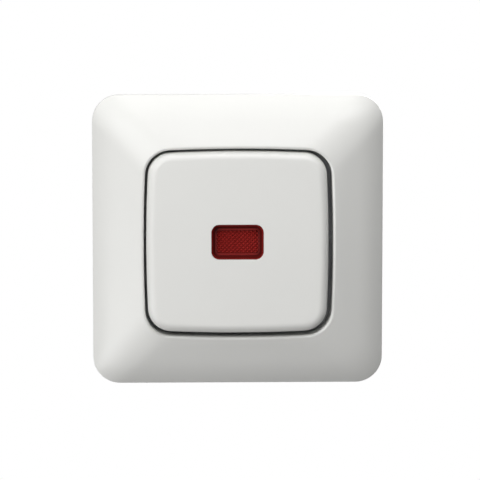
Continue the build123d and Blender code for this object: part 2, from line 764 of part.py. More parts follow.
# Common contact and neutral bar: a strip on the channel's floor that bends into its well.
strip_p = -strip_depth + fit
bars = (
    ("contact_common", 1, toggle_x + strip_half + strip_wall),
    ("neutral_bar", -1, strip_half),
)
for name, sz, right in bars:
    with BuildPart() as bar:
        left = -well_x - strip_half
        reach = plate_z + strip_wall
        with BuildSketch(front(strip_p)):
            with Locations(((left + right) / 2, sz * strip_z)):
                Rectangle(right - left, 2 * strip_half)
            with Locations((-well_x, sz * (strip_z + reach) / 2)):
                Rectangle(2 * strip_half, reach - strip_z)
        extrude(amount=strip_wall)
        with BuildSketch(front(plate_end_p)):
            with Locations((-well_x, sz * (plate_z + strip_wall / 2))):
                Rectangle(2 * strip_half, strip_wall)
        extrude(amount=strip_p - plate_end_p)
        if name == "contact_common":
            # Bearing post with a groove for the seesaw's bead.
            with BuildSketch(front(strip_p)):
                with Locations((toggle_x, 0)):
                    Rectangle(post_width, 2 * post_half)
            extrude(amount=seesaw_p - seesaw_bead_r / 2 - strip_p)
            with BuildSketch(front(strip_p)):
                with Locations((toggle_x, (strip_z - post_half) / 2)):
                    Rectangle(post_width, strip_z + post_half)
            extrude(amount=strip_wall)
            with BuildSketch(side(toggle_x - post_width)):
                with Locations((0, seesaw_p)):
                    Circle(seesaw_bead_r + bead_clearance)
            extrude(amount=2 * post_width, mode=Mode.SUBTRACT)
    save(bar.part, name)

# Clamp springs: a leaf bent back on itself; the free leg bears on the terminal plate.
leaf_back_z = well_outer_z - fit
leaf_bend_p = -strip_depth - leaf_top
leg_end_z = plate_z + strip_wall + fit + leaf_wall / 2
spring_places = ((1, 1), (-1, 1), (-1, -1), (1, -1))
for number, (sx, sz) in enumerate(spring_places, start=1):
    with BuildPart() as clamp_spring:
        with BuildSketch(side(sx * well_x - leaf_width / 2)):
            with BuildLine():
                FilletPolyline(
                    (sz * (leaf_back_z - leaf_wall / 2), plate_end_p),
                    (sz * (leaf_back_z - leaf_wall / 2), leaf_bend_p),
                    (sz * (leaf_back_z - leaf_run), leaf_bend_p),
                    (sz * leg_end_z, leaf_bend_p - leaf_tail),
                    radius=leaf_bend_r,
                )
            trace(line_width=leaf_wall)
        extrude(amount=leaf_width)
    save(clamp_spring.part, f"clamp_spring_{number}")

# Release levers: a button in the rear wall with two arms inside, one to each neighbouring spring.
for name, sz in (("release_lever_upper", 1), ("release_lever_lower", -1)):
    with BuildPart() as lever:
        with BuildSketch(front(floor_p + fit)):
            with Locations((0, sz * wire_hole_z)):
                Rectangle(2 * lever_arm_half, 2 * lever_half_z)
        extrude(amount=lever_arm_wall)
        with BuildSketch(front(-base_depth - lever_proud)):
            with Locations((0, sz * wire_hole_z)):
                Rectangle(2 * lever_half_x, 2 * lever_half_z)
        extrude(amount=base_floor + lever_proud + fit)
        fillet(lever.faces().sort_by(Axis.Y)[-1].edges(), lever_proud / 2)
    save(lever.part, name)

# Claws: bent sheet with two cheeks round the screw, a pushing tab and a toothed leg.
cheek_outer_z = claw_cheek + claw_wall
leg_outer_x = claw_leg_x + claw_wall
eye_slant = claw_eye_r * cos(radians(45))
for name, sx in (("claw_left", -1), ("claw_right", 1)):
    with BuildPart() as claw:
        for low_z in (claw_cheek, -cheek_outer_z):
            with BuildSketch(level(low_z + claw_wall)):
                with BuildLine():
                    Polyline(
                        (sx * (claw_hinge_x - eye_slant), claw_hinge_p),
                        (sx * claw_hinge_x, claw_hinge_p + eye_slant),
                        (sx * leg_outer_x, claw_top_p),
                        (sx * leg_outer_x, claw_bend_p),
                        (sx * claw_leg_x, claw_bend_p),
                        close=True,
                    )
                make_face()
                with Locations((sx * claw_hinge_x, claw_hinge_p)):
                    Circle(claw_eye_r)
            extrude(amount=claw_wall)
        stub_reach = ear_inner_z + claw_ear_wall
        for sz in (-1, 1):
            stub_root = (sx * claw_hinge_x, -claw_hinge_p, sz * claw_cheek)
            with BuildSketch(Plane(origin=stub_root, z_dir=(0, 0, sz))):
                Circle(claw_stub_r)
            extrude(amount=stub_reach - claw_cheek)
        # Outer plate and leg, with teeth that bite into the wall box.
        with BuildSketch(Plane(origin=(sx * claw_leg_x, 0, 0), x_dir=(0, 0, sx), z_dir=(sx, 0, 0))):
            with BuildLine():
                Polyline(
                    (-cheek_outer_z, claw_top_p),
                    (cheek_outer_z, claw_top_p),
                    (cheek_outer_z, claw_bend_p),
                    (claw_cheek, claw_end_p),
                    (-claw_cheek, claw_end_p),
                    (-cheek_outer_z, claw_bend_p),
                    close=True,
                )
            make_face()
        extrude(amount=claw_wall)
        with BuildSketch(level(claw_cheek)):
            with BuildLine():
                Polyline(
                    (sx * claw_leg_x, claw_end_p + claw_wall),
                    (sx * claw_leg_x, claw_end_p),
                    (sx * (leg_outer_x + claw_tooth), claw_end_p - claw_wall / 2),
                    (sx * (leg_outer_x + claw_tooth), claw_end_p),
                    (sx * leg_outer_x, claw_end_p + claw_wall),
                    close=True,
                )
            make_face()
        extrude(amount=2 * claw_cheek)
        tooth_pitch = 2 * claw_cheek / claw_tooth_count
        notch = Plane(origin=(0, -claw_end_p + claw_wall, 0), x_dir=(1, 0, 0), z_dir=(0, -1, 0))
        with BuildSketch(notch):
            for tooth in range(claw_tooth_count - 1):
                middle = (tooth + 1) * tooth_pitch - claw_cheek
                with BuildLine():
                    Polyline(
                        (sx * (leg_outer_x + 2 * claw_tooth), middle - tooth_pitch / 2),
                        (sx * leg_outer_x, middle),
                        (sx * (leg_outer_x + 2 * claw_tooth), middle + tooth_pitch / 2),
                        close=True,
                    )
                make_face()
        extrude(amount=2 * claw_wall, mode=Mode.SUBTRACT)
        # Tab that the nut lifts.
        with BuildSketch(front(claw_tab_p)):
            with Locations((sx * (claw_leg_x - claw_tab_depth / 2), 0)):
                Rectangle(claw_tab_depth, 2 * cheek_outer_z)
        extrude(amount=claw_wall)
    save(claw.part, name)

# Square nuts under the tabs, and the screws that draw them up.
nut_top_p = claw_tab_p - nut_gap
for name, sx in (("claw_nut_left", -1), ("claw_nut_right", 1)):
    with BuildPart() as nut:
        with BuildSketch(front(nut_top_p - nut_wall)):
            with Locations((sx * claw_screw_x, 0)):
                Rectangle(2 * nut_half, 2 * nut_half)
                Circle(claw_screw_r + screw_clearance, mode=Mode.SUBTRACT)
        extrude(amount=nut_wall)
    save(nut.part, name)

for name, sx in (("claw_screw_left", -1), ("claw_screw_right", 1)):
    with BuildPart() as screw:
        with BuildSketch(front(claw_screw_end_p)):
            with Locations((sx * claw_screw_x, 0)):
                Circle(claw_screw_r)
        extrude(amount=plate_wall + fit - claw_screw_end_p)
        with BuildSketch(front(plate_wall + fit)):
            with Locations((sx * claw_screw_x, 0)):
                Circle(claw_screw_head_r)
        extrude(amount=claw_screw_head)
        fillet(screw.faces().sort_by(Axis.Y)[0].edges(), claw_screw_dome)
        chamfer(screw.faces().sort_by(Axis.Y)[-1].edges(), claw_screw_tip)
        # Combined slot and cross recess.
        with BuildSketch(front(plate_wall + fit + claw_screw_head)):
            with Locations((sx * claw_screw_x, 0)):
                Rectangle(2 * claw_screw_head_r, claw_screw_slot)
                Rectangle(claw_screw_slot, claw_screw_head_r)
        extrude(amount=-claw_screw_head / 2, mode=Mode.SUBTRACT)
    save(screw.part, name)

# Lamp holder: moulded block in the base, with a cradle for the lamp.
with BuildPart() as lamp_holder:
    with BuildSketch(front(lamp_seat_p + fit)):
        Rectangle(lamp_holder_width, lamp_holder_height)
    extrude(amount=lamp_holder_p - lamp_seat_p - fit)
    for sx in (-1, 1):
        cheek_x = lamp_holder_width / 2 - lamp_cheek if sx > 0 else -lamp_holder_width / 2
        with BuildSketch(side(cheek_x)):
            with Locations((0, (lamp_holder_p + lamp_p) / 2)):
                Rectangle(2 * lamp_r, lamp_p - lamp_holder_p)
        extrude(amount=lamp_cheek)
    with BuildSketch(side(-lamp_holder_width / 2 + lamp_cheek)):
        with Locations((0, lamp_p)):
            Circle(lamp_r + fit)
    extrude(amount=lamp_holder_width - 2 * lamp_cheek, mode=Mode.SUBTRACT)
    with BuildSketch(front(lamp_seat_p)):
        with GridLocations(0, 2 * lamp_lead_z, 1, 2):
            Circle(lamp_pin_r + pin_clearance)
    extrude(amount=lamp_holder_p - lamp_seat_p, mode=Mode.SUBTRACT)
save(lamp_holder.part, "lamp_holder")

# Lamp: a small glow tube lying along X.
lamp_half = (lamp_holder_width - 2 * lamp_cheek) / 2 - fit
with BuildPart() as lamp_glass:
    with BuildSketch(side(-lamp_half)):
        with Locations((0, lamp_p)):
            Circle(lamp_r)
    extrude(amount=2 * lamp_half)
    fillet(lamp_glass.faces().sort_by(Axis.X)[0].edges(), lamp_end_r)
    fillet(lamp_glass.faces().sort_by(Axis.X)[-1].edges(), lamp_end_r)
save(lamp_glass.part, "lamp_glass")

# Two contact pins from the lamp holder down to the common strip and the neutral bar.
with BuildPart() as lamp_pins:
    with BuildSketch(front(strip_p + strip_wall + fit)):
        with GridLocations(0, 2 * lamp_lead_z, 1, 2):
            Circle(lamp_pin_r)
    extrude(amount=lamp_holder_p - strip_p - strip_wall - fit)
save(lamp_pins.part, "lamp_pins")
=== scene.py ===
import json
import math

import bpy
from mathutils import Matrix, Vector


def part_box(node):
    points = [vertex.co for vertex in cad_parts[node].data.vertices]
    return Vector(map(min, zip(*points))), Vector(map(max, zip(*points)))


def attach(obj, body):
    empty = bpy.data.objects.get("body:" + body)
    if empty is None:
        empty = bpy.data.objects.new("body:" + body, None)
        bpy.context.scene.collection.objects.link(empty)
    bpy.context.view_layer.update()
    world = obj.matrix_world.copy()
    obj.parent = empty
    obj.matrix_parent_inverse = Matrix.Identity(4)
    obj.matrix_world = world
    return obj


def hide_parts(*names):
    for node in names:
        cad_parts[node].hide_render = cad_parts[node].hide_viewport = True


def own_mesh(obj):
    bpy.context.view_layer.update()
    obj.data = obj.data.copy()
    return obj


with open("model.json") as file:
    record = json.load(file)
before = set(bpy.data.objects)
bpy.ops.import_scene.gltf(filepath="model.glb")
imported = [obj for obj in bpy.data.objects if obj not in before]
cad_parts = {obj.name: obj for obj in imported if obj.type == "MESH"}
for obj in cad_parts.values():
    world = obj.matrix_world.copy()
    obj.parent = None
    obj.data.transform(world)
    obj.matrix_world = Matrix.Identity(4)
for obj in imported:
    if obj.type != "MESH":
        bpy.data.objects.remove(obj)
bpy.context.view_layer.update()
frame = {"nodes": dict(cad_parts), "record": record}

# Sizes are in metres. Heights above the wall are given as p, so a point's y is -p.
MM = 0.001

# Cover frame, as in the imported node
frame_low, frame_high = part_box("cover_frame")
FRAME_HALF = (frame_high[0] - frame_low[0]) / 2
FRAME_CORNER = 7.5 * MM
FRAME_WALL = 1.8 * MM
RIM_P = -frame_low[1]
RIM_LAND = 0.7 * MM
RIM_CORNER = 8.0 * MM
RIM_ROUND = 0.6 * MM
SLOPE_ANGLE = math.radians(26.0)
SLOPE_RUN = 6.4 * MM
EDGE_ANGLE = math.radians(44.0)
EDGE_ROUND = 0.5 * MM
OPENING_HALF = 26.1 * MM
BOW = 0.75 * MM
LEAST_BOW = 0.01 * MM
OPENING_CORNER = 7.2 * MM
SKIRT_WALL = 1.6 * MM
SKIRT_P = 3.6 * MM
HOOK_X = 27.35 * MM
HOOK_Z = 11.0 * MM
HOOK_WIDTH = 5.0 * MM
HOOK_WALL = 1.4 * MM
HOOK_BARB = 0.8 * MM
HOOK_TOP_P = -0.1 * MM
HOOK_END_P = -2.8 * MM
FRAME_RIB_WALL = 1.0 * MM
FRAME_RIB_SPREAD = 18.0 * MM
FRAME_RIB_P = 2.2 * MM

# Rocker and lens, on a plane turned about the tilt axis
PIVOT_P = 4.0 * MM
REST_TILT = math.radians(3.0)
ROCKER_SHIFT = -0.28 * MM
ROCKER_HALF = 25.1 * MM
ROCKER_CORNER = 6.5 * MM
ROCKER_FACE_P = 13.0 * MM
ROCKER_SKIRT_P = 6.2 * MM
ROCKER_WALL = 1.8 * MM
ROCKER_TOP = 2.0 * MM
ROCKER_ROUND = 2.4 * MM
ROCKER_RIB_WALL = 1.0 * MM
ROCKER_RIB_DEPTH = 1.8 * MM
ROCKER_RIB_SETBACK = 0.25 * MM
LEG_X = 13.4 * MM
LEG_Z = 9.0 * MM
LEG_WALL = 1.4 * MM
LEG_WIDTH = 4.0 * MM
LEG_END_P = 3.6 * MM
WINDOW_HALF_X = 7.2 * MM
WINDOW_HALF_Z = 4.8 * MM
WINDOW_CORNER = 2.2 * MM
WINDOW_EASE = 0.12 * MM
LENS_GAP = 0.05 * MM
LENS_TOP_P = 12.7 * MM
LENS_FLOOR_P = 11.1 * MM
LENS_EASE = 0.06 * MM
LENS_LIP = 0.1 * MM
LENS_RUN = 0.9 * MM
LENS_GROOVE = 0.5 * MM
LENS_GROOVE_DEPTH = 0.38 * MM
LENS_BACK_P = 9.8 * MM
DIAMOND_PITCH = 0.8 * MM
DIAMOND_HEIGHT = 0.38 * MM

# Claw screws
SCREW_R = 1.5 * MM
SCREW_CORE_R = 1.2 * MM
SCREW_PITCH = 0.5 * MM
SCREW_TIP = 0.5 * MM
SCREW_HEAD_P = 1.3 * MM
HEAD_TOLERANCE = 0.05 * MM

# Toggle spring, pressed by the plunger along the rocker's own axis
WIRE_R = 0.2 * MM
SPRING_TURNS = 5

# How finely the curves are cut
SIDE_STEPS = 14
CORNER_STEPS = 16
SLOPE_STEPS = 5
ROLL_STEPS = 16
UNDERSIDE_STRIDE = 3
EDGE_STEPS = 4
RIM_STEPS = 10
ROUNDING_STEPS = 12
EASE_STEPS = 3
FACE_SHARES = (0.02, 0.3, 0.6, 0.85, 0.99)
THREAD_STEPS = 24
THREAD_ROWS_A_TURN = 4
COIL_STEPS = 36
WIRE_STEPS = 14


def bowed_quadrant(half, bow, corner):
    """Points of a bowed, rounded square from the middle of its top to the middle of its right side.

    Each side is an arc of radius big, whose ends would meet at (tip, tip) without the rounding.
    """
    tip = half - bow
    big = (tip * tip + bow * bow) / (2 * bow)
    low = half - big
    middle = (low + math.sqrt(2 * (big - corner) ** 2 - low * low)) / 2
    reach = math.atan2(middle, middle - low)
    turns = [reach * i / SIDE_STEPS for i in range(SIDE_STEPS)]
    top = [(big * math.sin(turn), low + big * math.cos(turn)) for turn in turns]
    return top + bend(middle, middle, corner, reach) + [(z, x) for x, z in reversed(top)]


def plain_quadrant(half_x, half_z, corner):
    """The same of a straight-sided rounded rectangle."""
    x, z = half_x - corner, half_z - corner
    top = [(x * i / SIDE_STEPS, half_z) for i in range(SIDE_STEPS)]
    side = [(half_x, z * (SIDE_STEPS - 1 - i) / SIDE_STEPS) for i in range(SIDE_STEPS)]
    return top + bend(x, z, corner, 0.0) + side


def bend(x, z, corner, reach):
    """Round corner about (x, z), between two sides that are each turned by reach."""
    points = []
    for i in range(CORNER_STEPS + 1):
        turn = reach + (math.pi / 2 - 2 * reach) * i / CORNER_STEPS
        points.append((x + corner * math.sin(turn), z + corner * math.cos(turn)))
    return points


def whole(right_top):
    """The closed outline, clockwise from the middle of the top, from its first quarter."""
    points = right_top[:-1]
    points += [(x, -z) for x, z in reversed(right_top)][:-1]
    points += [(-x, -z) for x, z in right_top][:-1]
    points += [(-x, z) for x, z in reversed(right_top)][:-1]
    return points


def bowed_ring(half, bow, corner):
    """Outline of a bowed, rounded square."""
    return whole(bowed_quadrant(half, bow, corner))


def plain_ring(half_x, half_z, corner):
    """Outline of a straight-sided rounded rectangle."""
    return whole(plain_quadrant(half_x, half_z, corner))


def on_wall(x, z, p):
    """A point of the fixed parts."""
    return (x, -p, z)


def on_rocker(x, z, p):
    """A point of the rocker at rest, given as if the rocker were level."""
    out = p - PIVOT_P
    y = -PIVOT_P - out * math.cos(REST_TILT) + z * math.sin(REST_TILT)
    return (x + ROCKER_SHIFT, y, out * math.sin(REST_TILT) + z * math.cos(REST_TILT))


def add_piece(name, verts, faces, flat_from=None):
    """A mesh object, linked to the scene; faces from number flat_from on are shaded flat."""
    mesh = bpy.data.meshes.new(name)
    mesh.from_pydata(verts, [], faces)
    mesh.update()
    for polygon in mesh.polygons:
        polygon.use_smooth = flat_from is None or polygon.index < flat_from
    piece = bpy.data.objects.new(name, mesh)
    bpy.context.scene.collection.objects.link(piece)
    return piece


def lofted(rings, place, closed):
    """Vertices and faces through a row of outlines, each with its height."""
    count = len(rings[0][0])
    verts = [place(x, z, p) for outline, p in rings for x, z in outline]
    faces = []
    rows = len(rings) if closed else len(rings) - 1
    for row in range(rows):
        start, after = row * count, (row + 1) % len(rings) * count
        for i in range(count):
            j = (i + 1) % count
            faces.append((start + i, start + j, after + j, after + i))
    return verts, faces


def add_prism(verts, faces, near, far):
    """Adds the solid between two like polygons, whose points are given in space."""
    first, count = len(verts), len(near)
    verts += near + far
    faces.append(tuple(first + i for i in reversed(range(count))))
    faces.append(tuple(first + count + i for i in range(count)))
    for i in range(count):
        j = (i + 1) % count
        faces.append((first + i, first + j, first + count + j, first + count + i))


def add_block(verts, faces, place, x, z, p):
    """Adds a box from the low and the high value of x, z and p."""
    corners = ((x[0], z[0]), (x[1], z[0]), (x[1], z[1]), (x[0], z[1]))
    near = [place(a, b, p[0]) for a, b in corners]
    far = [place(a, b, p[1]) for a, b in corners]
    add_prism(verts, faces, near, far)


def frame_profile():
    """Points of the frame's slope from the edge inwards, as (half width, p, angle)."""
    rim_half = OPENING_HALF + RIM_LAND
    roll_half = rim_half + SLOPE_RUN
    roll_r = (FRAME_HALF - roll_half) / (math.sin(EDGE_ANGLE) - math.sin(SLOPE_ANGLE))
    roll_p = RIM_P - SLOPE_RUN * math.tan(SLOPE_ANGLE)
    profile = []
    for step in range(ROLL_STEPS, 0, -1):
        angle = SLOPE_ANGLE + (EDGE_ANGLE - SLOPE_ANGLE) * step / ROLL_STEPS
        half = roll_half + roll_r * (math.sin(angle) - math.sin(SLOPE_ANGLE))
        profile.append((half, roll_p - roll_r * (math.cos(SLOPE_ANGLE) - math.cos(angle)), angle))
    # Straight stretch, which ends where the rim's rounding begins.
    end_half = OPENING_HALF + RIM_ROUND * (1 + math.sin(SLOPE_ANGLE))
    end_p = RIM_P - RIM_ROUND * (1 - math.cos(SLOPE_ANGLE))
    for step in range(SLOPE_STEPS):
        share = step / SLOPE_STEPS
        half = roll_half + (end_half - roll_half) * share
        profile.append((half, roll_p + (end_p - roll_p) * share, SLOPE_ANGLE))
    return profile


def cover_frame():
    """The moulded frame: side wall, rolled slope, rim, opening, skirt, ribs and hooks."""
    profile = frame_profile()
    edge_p = profile[0][1]
    bow_half = profile[-SLOPE_STEPS][0]
    end_half = OPENING_HALF + RIM_ROUND

    def outline(half):
        """The corners widen and the sides begin to bow towards the rim."""
        share = (FRAME_HALF - half) / (FRAME_HALF - end_half)
        near_rim = max(0.0, (bow_half - half) / (bow_half - end_half))
        bow = LEAST_BOW + (BOW - LEAST_BOW) * near_rim**2
        return bowed_ring(half, bow, FRAME_CORNER + (RIM_CORNER - FRAME_CORNER) * share)

    rings = [(outline(FRAME_HALF), 0.0), (outline(FRAME_HALF), edge_p / 2)]
    # The edge between side wall and slope is eased by a small arc.
    turn = math.pi / 2 - EDGE_ANGLE
    ease = EDGE_ROUND * math.tan(turn / 2)
    for step in range(EDGE_STEPS + 1):
        angle = turn * step / EDGE_STEPS
        half = FRAME_HALF - EDGE_ROUND * (1 - math.cos(angle))
        rings.append((outline(half), edge_p - ease + EDGE_ROUND * math.sin(angle)))
    rings += [(outline(half), p) for half, p, angle in profile[1:]]
    for step in range(RIM_STEPS + 1):
        angle = SLOPE_ANGLE - (SLOPE_ANGLE + math.pi / 2) * step / RIM_STEPS
        half = OPENING_HALF + RIM_ROUND * (1 + math.sin(angle))
        corner = OPENING_CORNER + RIM_ROUND * (1 + math.sin(angle))
        rings.append((bowed_ring(half, BOW, corner), RIM_P - RIM_ROUND * (1 - math.cos(angle))))
    opening = bowed_ring(OPENING_HALF, BOW, OPENING_CORNER)
    skirt = bowed_ring(OPENING_HALF + SKIRT_WALL, BOW, OPENING_CORNER + SKIRT_WALL)
    rings += [(opening, RIM_P / 2), (opening, SKIRT_P), (skirt, SKIRT_P)]
    under = [(half, p - FRAME_WALL * math.cos(angle), angle) for half, p, angle in reversed(profile)]
    rings.append((skirt, under[0][1]))
    inner = FRAME_HALF - FRAME_WALL
    for half, p, angle in under[1::UNDERSIDE_STRIDE]:
        across = min(half - FRAME_WALL * math.sin(angle), inner)
        rings.append((bowed_ring(across, LEAST_BOW, FRAME_CORNER - FRAME_WALL), p))
    rings.append((bowed_ring(inner, LEAST_BOW, FRAME_CORNER - FRAME_WALL), 0.0))
    verts, faces = lofted(rings, on_wall, True)
    add_frame_ribs(verts, faces, under, inner)
    add_hooks(verts, faces)
    return add_piece("cover_frame_moulding", verts, faces)


def add_frame_ribs(verts, faces, under, inner):
    """Thin ribs behind the slope, two on each side, from the skirt to the side wall."""
    root = OPENING_HALF + SKIRT_WALL / 2
    crest = [(root, under[0][1]), (under[-ROLL_STEPS][0], under[-ROLL_STEPS][1])]
    crest += [(inner + FRAME_WALL / 2, under[-1][1])]
    section = [(root, FRAME_RIB_P)] + crest + [(inner + FRAME_WALL / 2, FRAME_RIB_P)]
    for sign in (-1, 1):
        for spread in (-FRAME_RIB_SPREAD, FRAME_RIB_SPREAD):
            for shift in ((-1, 1), (1, -1)):
                low = spread + shift[0] * sign * FRAME_RIB_WALL / 2
                high = spread + shift[1] * sign * FRAME_RIB_WALL / 2
                if shift[0] < 0:
                    near = [on_wall(sign * out, low, p) for out, p in section]
                    far = [on_wall(sign * out, high, p) for out, p in section]
                else:
                    near = [on_wall(low, sign * out, p) for out, p in section]
                    far = [on_wall(high, sign * out, p) for out, p in section]
                add_prism(verts, faces, near, far)


def add_hooks(verts, faces):
    """Four snap arms, each with a wedge on its outer side."""
    for sx in (-1, 1):
        for sz in (-1, 1):
            z = (sz * HOOK_Z - HOOK_WIDTH / 2, sz * HOOK_Z + HOOK_WIDTH / 2)
            x = sorted((sx * (HOOK_X - HOOK_WALL / 2), sx * (HOOK_X + HOOK_WALL / 2)))
            add_block(verts, faces, on_wall, x, z, (HOOK_END_P, SKIRT_P + FRAME_WALL))
            arm = sx * (HOOK_X + HOOK_WALL / 2)
            wedge = ((arm, HOOK_TOP_P), (arm + sx * HOOK_BARB, HOOK_TOP_P), (arm, HOOK_END_P))
            near = [on_wall(a, z[0], p) for a, p in wedge]
            far = [on_wall(a, z[1], p) for a, p in wedge]
            if sx > 0:
                add_prism(verts, faces, near, far)
            else:
                add_prism(verts, faces, far, near)


def rocker():
    """The moulded key: bowed skirt, rounded edge, level face with the window, ribs and legs behind."""
    rings = [(bowed_ring(ROCKER_HALF, BOW, ROCKER_CORNER), ROCKER_SKIRT_P)]
    for step in range(ROUNDING_STEPS + 1):
        angle = math.pi / 2 * step / ROUNDING_STEPS
        shrink = ROCKER_ROUND * (1 - math.cos(angle))
        outline = bowed_ring(ROCKER_HALF - shrink, BOW, ROCKER_CORNER - shrink)
        rings.append((outline, ROCKER_FACE_P - ROCKER_ROUND * (1 - math.sin(angle))))

    def window(grow):
        """Outline of the opening for the lens, widened by grow."""
        return plain_ring(WINDOW_HALF_X + grow, WINDOW_HALF_Z + grow, WINDOW_CORNER + grow)

    start, end = rings[-1][0], window(WINDOW_EASE)
    for share in FACE_SHARES:
        blend = [Vector(a).lerp(Vector(b), share) for a, b in zip(start, end)]
        rings.append((blend, ROCKER_FACE_P))
    for step in range(EASE_STEPS + 1):
        angle = math.pi / 2 * step / EASE_STEPS
        grow = WINDOW_EASE * (1 - math.sin(angle))
        rings.append((window(grow), ROCKER_FACE_P - WINDOW_EASE * (1 - math.cos(angle))))
    under_p = ROCKER_FACE_P - ROCKER_TOP
    inside_half = ROCKER_HALF - ROCKER_WALL
    inside = bowed_ring(inside_half, BOW, ROCKER_CORNER - ROCKER_WALL)
    rings += [(window(0.0), under_p), (inside, under_p), (inside, ROCKER_SKIRT_P)]
    verts, faces = lofted(rings, on_rocker, True)
    # Cross ribs, each from the lens out to a side wall.
    half_wall = ROCKER_RIB_WALL / 2
    rib_p = (under_p - ROCKER_RIB_DEPTH, under_p)
    for sign in (-1, 1):
        x = sorted((sign * (WINDOW_HALF_X + ROCKER_RIB_SETBACK), sign * (inside_half + half_wall)))
        add_block(verts, faces, on_rocker, x, (-half_wall, half_wall), rib_p)
        z = sorted((sign * (WINDOW_HALF_Z + ROCKER_RIB_SETBACK), sign * (inside_half + half_wall)))
        add_block(verts, faces, on_rocker, (-half_wall, half_wall), z, rib_p)
        for sz in (-1, 1):
            x = sorted((sign * (LEG_X - LEG_WALL / 2), sign * (LEG_X + LEG_WALL / 2)))
            z = (sz * LEG_Z - LEG_WIDTH / 2, sz * LEG_Z + LEG_WIDTH / 2)
            add_block(verts, faces, on_rocker, x, z, (LEG_END_P, under_p))
    return add_piece("rocker_moulding", verts, faces)


def lens():
    """The red tub: eased lip, sloped walls, a groove and a field of small pyramids on the floor."""
    half_x, half_z = WINDOW_HALF_X - LENS_GAP, WINDOW_HALF_Z - LENS_GAP
    corner = WINDOW_CORNER - LENS_GAP

    def outline(shrink):
        """Outline of the tub, moved in by shrink; its corners stay round."""
        return plain_ring(half_x - shrink, half_z - shrink, corner - min(shrink, corner / 2))

    rings = [(outline(0.0), LENS_BACK_P)]
    for step in range(EASE_STEPS + 1):
        angle = math.pi / 2 * step / EASE_STEPS
        shrink = LENS_EASE * (1 - math.cos(angle))
        rings.append((outline(shrink), LENS_TOP_P - LENS_EASE * (1 - math.sin(angle))))
    rings.append((outline(LENS_LIP), LENS_TOP_P - LENS_EASE / 2))
    floor_in = LENS_LIP + LENS_RUN
    groove_p = LENS_FLOOR_P - LENS_GROOVE_DEPTH
    rings += [(outline(floor_in), LENS_FLOOR_P), (outline(floor_in), groove_p)]
    verts, faces = lofted(rings, on_rocker, False)
    count = len(rings[0][0])
    faces.append(tuple(reversed(range(count))))
    faces.append(tuple(range(len(verts) - count, len(verts))))
    flat_from = len(faces) - 1
    # The pyramids lie on a slanting lattice, so each is a diamond. Every crease is an edge of the grid.
    step = DIAMOND_PITCH / (2 * math.sqrt(2))
    reach_x = round((half_x - floor_in - LENS_GROOVE) / step)
    reach_z = round((half_z - floor_in - LENS_GROOVE) / step)
    first, width = len(verts), 2 * reach_x + 1
    for row in range(-reach_z, reach_z + 1):
        for column in range(-reach_x, reach_x + 1):
            u, v = (column + row) / 4, (column - row) / 4
            fall = 2 * max(abs(u - round(u)), abs(v - round(v)))
            verts.append(on_rocker(column * step, row * step, LENS_FLOOR_P - DIAMOND_HEIGHT * fall))
    for row in range(2 * reach_z):
        for column in range(2 * reach_x):
            a = first + row * width + column
            b, c, d = a + 1, a + width + 1, a + width
            if (column - reach_x + row - reach_z + 1) % 4 == 2:
                faces += [(a, b, d), (b, c, d)]
            else:
                faces += [(a, b, c), (a, c, d)]
    return add_piece("lens_diamonds", verts, faces, flat_from)


def threaded_screw(name):
    """A claw screw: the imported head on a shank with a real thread."""
    node = frame["nodes"][name]
    spots = [node.matrix_world @ vertex.co for vertex in node.data.vertices]
    verts, faces, kept = [], [], {}
    for polygon in node.data.polygons:
        if min(-spots[i].y for i in polygon.vertices) > SCREW_HEAD_P - HEAD_TOLERANCE:
            for i in polygon.vertices:
                if i not in kept:
                    kept[i] = len(verts)
                    verts.append(tuple(spots[i]))
            faces.append(tuple(kept[i] for i in polygon.vertices))
    flat_from = len(faces)
    low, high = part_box(name)
    axis_x, end_p = (low[0] + high[0]) / 2, -high[1]
    rows = round((SCREW_HEAD_P - end_p) / SCREW_PITCH * THREAD_ROWS_A_TURN)
    first = len(verts)
    for row in range(rows + 1):
        p = end_p + (SCREW_HEAD_P - end_p) * row / rows
        taper = min(1.0, (p - end_p) / SCREW_TIP)
        for i in range(THREAD_STEPS):
            turn = math.tau * i / THREAD_STEPS
            phase = (p / SCREW_PITCH + i / THREAD_STEPS) % 1.0
            ridge = 1 - abs(2 * phase - 1)
            r = SCREW_CORE_R + (SCREW_R - SCREW_CORE_R) * ridge * taper
            verts.append((axis_x + r * math.cos(turn), -p, r * math.sin(turn)))
    for row in range(rows):
        for i in range(THREAD_STEPS):
            a = first + row * THREAD_STEPS + i
            b = first + row * THREAD_STEPS + (i + 1) % THREAD_STEPS
            faces.append((a, b, b + THREAD_STEPS, a + THREAD_STEPS))
    faces.append(tuple(first + i for i in reversed(range(THREAD_STEPS))))
    return add_piece(f"{name}_thread", verts, faces, flat_from)


